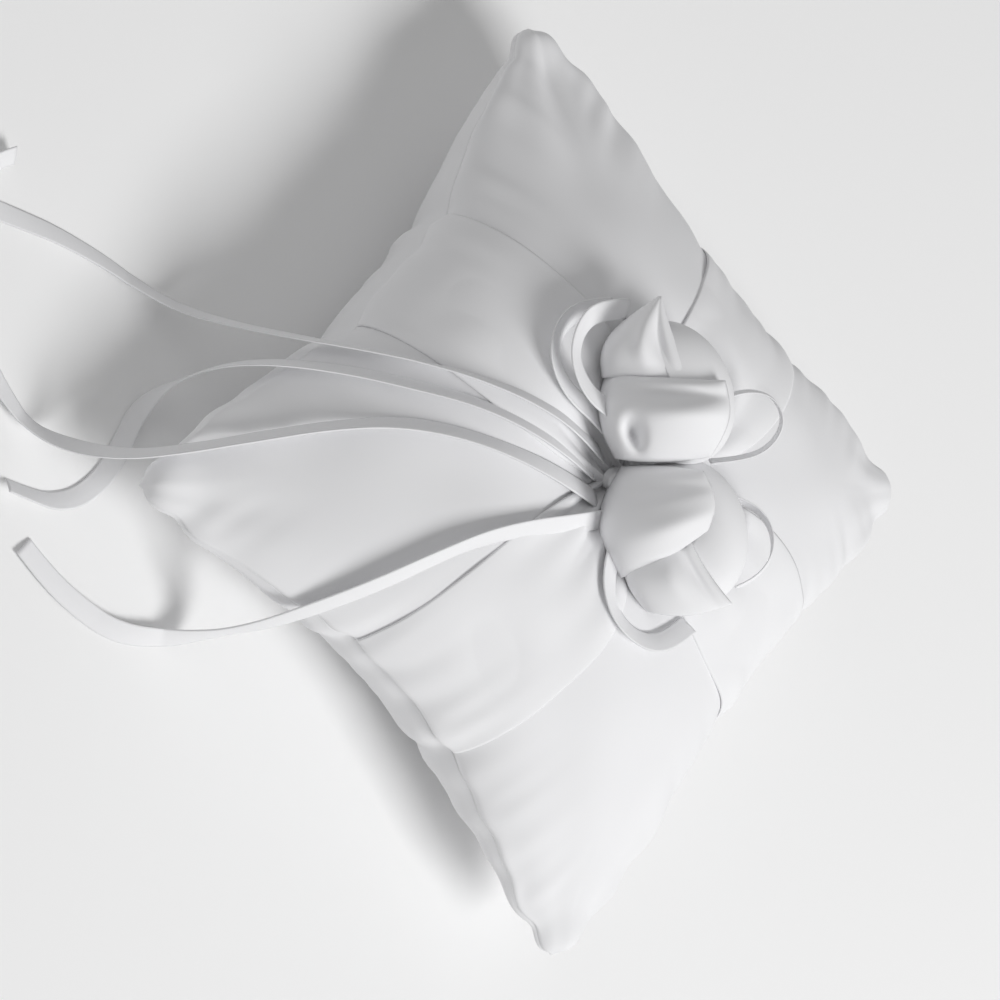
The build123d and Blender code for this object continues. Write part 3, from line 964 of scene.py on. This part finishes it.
def pearl_material(name):
    """Pearl bead: a glossy coat over a faintly clouded base."""
    material = bpy.data.materials.new(name)
    material.use_nodes = True
    tree = material.node_tree
    shader = tree.nodes["Principled BSDF"]
    place = tree.nodes.new("ShaderNodeTexCoord")
    cloud = node_in(tree, "ShaderNodeTexNoise", Scale=600.0, Detail=2.0)
    tree.links.new(place.outputs["Object"], cloud.inputs["Vector"])
    ramp = tree.nodes.new("ShaderNodeMix")
    ramp.data_type = "RGBA"
    ramp.inputs["A"].default_value = (0.74, 0.73, 0.72, 1)
    ramp.inputs["B"].default_value = (0.86, 0.85, 0.86, 1)
    tree.links.new(cloud.outputs["Fac"], ramp.inputs["Factor"])
    tree.links.new(ramp.outputs["Result"], shader.inputs["Base Color"])
    shader.inputs["Roughness"].default_value = 0.2
    shader.inputs["Coat Weight"].default_value = 0.6
    shader.inputs["Coat Roughness"].default_value = 0.06
    return material


# ---- camera and stage ------------------------------------------------------------------------
SENSOR = 36.0                # mm
LENS = 131.11                # mm
CAMERA_DISTANCE = 1.03816    # metres along OUT from the point that it stands off from
CAMERA_CENTRE = 0.027        # height of that point in metres
AIM_UP = -0.011357           # how far the view leans from -OUT, as tangents along UP
AIM_ACROSS = 0.003037        # and along ACROSS


class PILLOW_OT_camera(bpy.types.Operator):
    """Camera that looks down over the +X -Y corner"""

    bl_idname = "pillow.camera"
    bl_label = "Camera"

    def execute(self, context):
        """The camera stands 1.04 m from the middle on the OUT axis, with UP towards the image's
        right, and is turned by the small angle that frames the cushion."""
        data = bpy.data.cameras.new("camera")
        data.sensor_width = SENSOR
        data.lens = LENS
        data.clip_start, data.clip_end = 0.05, 50
        camera = bpy.data.objects.new("camera", data)
        context.scene.collection.objects.link(camera)
        place = Vector(OUT * CAMERA_DISTANCE) + Vector((0, 0, CAMERA_CENTRE))
        aim = Vector(-OUT + AIM_UP * UP + AIM_ACROSS * ACROSS)
        z = -aim.normalized()
        y = (-Vector(ACROSS) - z * z.dot(-Vector(ACROSS))).normalized()
        x = y.cross(z)
        camera.matrix_world = Matrix.Translation(place) @ Matrix((x, y, z)).transposed().to_4x4()
        context.scene.camera = camera
        return {"FINISHED"}


def area_light(name, place, target, size, power):
    """Square area light aimed at a target."""
    data = bpy.data.lights.new(name, "AREA")
    data.energy, data.size = power, size
    lamp = bpy.data.objects.new(name, data)
    lamp.location = place
    lamp.rotation_euler = (Vector(target) - Vector(place)).to_track_quat("-Z", "Y").to_euler()
    bpy.context.scene.collection.objects.link(lamp)


class PILLOW_OT_stage(bpy.types.Operator):
    """Pale floor, soft lights and a dim surround"""

    bl_idname = "pillow.stage"
    bl_label = "Stage"

    def execute(self, context):
        """A wide plane under the cushion, a large light at its +X +Y side and a weak one opposite."""
        settings = context.scene.pillow_stage
        mesh = bpy.data.meshes.new("floor")
        mesh.from_pydata([(-6, -6, 0), (6, -6, 0), (6, 6, 0), (-6, 6, 0)], [], [(0, 1, 2, 3)])
        floor = bpy.data.objects.new("floor", mesh)
        context.scene.collection.objects.link(floor)
        material = bpy.data.materials.new("floor")
        material.use_nodes = True
        shader = material.node_tree.nodes["Principled BSDF"]
        shader.inputs["Base Color"].default_value = (*settings.floor_colour, 1)
        shader.inputs["Roughness"].default_value = 0.9
        mesh.materials.append(material)
        side = np.array([0.649, 0.761, 0.0])
        near = np.array([0.761, -0.649, 0.0])
        high = np.array([0.0, 0.0, 1.0])
        key = (side * 0.8 - near * 0.25 + high * 1.05) * 1.7
        area_light("key", tuple(key), (0, 0, 0.05), 0.9, settings.key_power)
        fill = -side * 0.9 + near * 0.9 + high * 1.0
        area_light("fill", tuple(fill), (0, 0, 0.05), 1.2, settings.fill_power)
        world = bpy.data.worlds.new("surround")
        world.use_nodes = True
        world.node_tree.nodes["Background"].inputs["Color"].default_value = (1, 1, 1, 1)
        world.node_tree.nodes["Background"].inputs["Strength"].default_value = settings.surround
        context.scene.view_settings.view_transform = "Standard"
        context.scene.world = world
        return {"FINISHED"}


class PILLOW_PT_panel(bpy.types.Panel):
    """Sidebar panel with the pieces in the order that they are made"""

    bl_idname = "PILLOW_PT_panel"
    bl_label = "Ring Bearer Pillow"
    bl_space_type = "VIEW_3D"
    bl_region_type = "UI"
    bl_category = "Ring Pillow"

    def draw(self, context):
        """Settings, then one button per operator."""
        for group in ("pillow_cushion", "pillow_bow", "pillow_stage"):
            settings = getattr(context.scene, group)
            box = self.layout.box()
            for name in settings.__annotations__:
                box.prop(settings, name)
        for operator in OPERATORS:
            self.layout.operator(operator.bl_idname)


GROUPS = (PILLOW_PG_cushion, PILLOW_PG_bow, PILLOW_PG_stage)
OPERATORS = (
    PILLOW_OT_camera, PILLOW_OT_ribbons, PILLOW_OT_panels, PILLOW_OT_bands, PILLOW_OT_rosebuds,
    PILLOW_OT_trims, PILLOW_OT_stage,
)


def register():
    """Registers the classes and hangs the settings on the scene."""
    for item in (*GROUPS, *OPERATORS, PILLOW_PT_panel):
        bpy.utils.register_class(item)
    bpy.types.Scene.pillow_cushion = bpy.props.PointerProperty(type=PILLOW_PG_cushion)
    bpy.types.Scene.pillow_bow = bpy.props.PointerProperty(type=PILLOW_PG_bow)
    bpy.types.Scene.pillow_stage = bpy.props.PointerProperty(type=PILLOW_PG_stage)


def unregister():
    """Undoes register."""
    for name in ("pillow_cushion", "pillow_bow", "pillow_stage"):
        delattr(bpy.types.Scene, name)
    for item in reversed((*GROUPS, *OPERATORS, PILLOW_PT_panel)):
        bpy.utils.unregister_class(item)


def main():
    """Makes the pieces in order."""
    register()
    for operator in OPERATORS:
        group, name = operator.bl_idname.split(".")
        getattr(getattr(bpy.ops, group), name)()


if __name__ == "__main__":
    main()
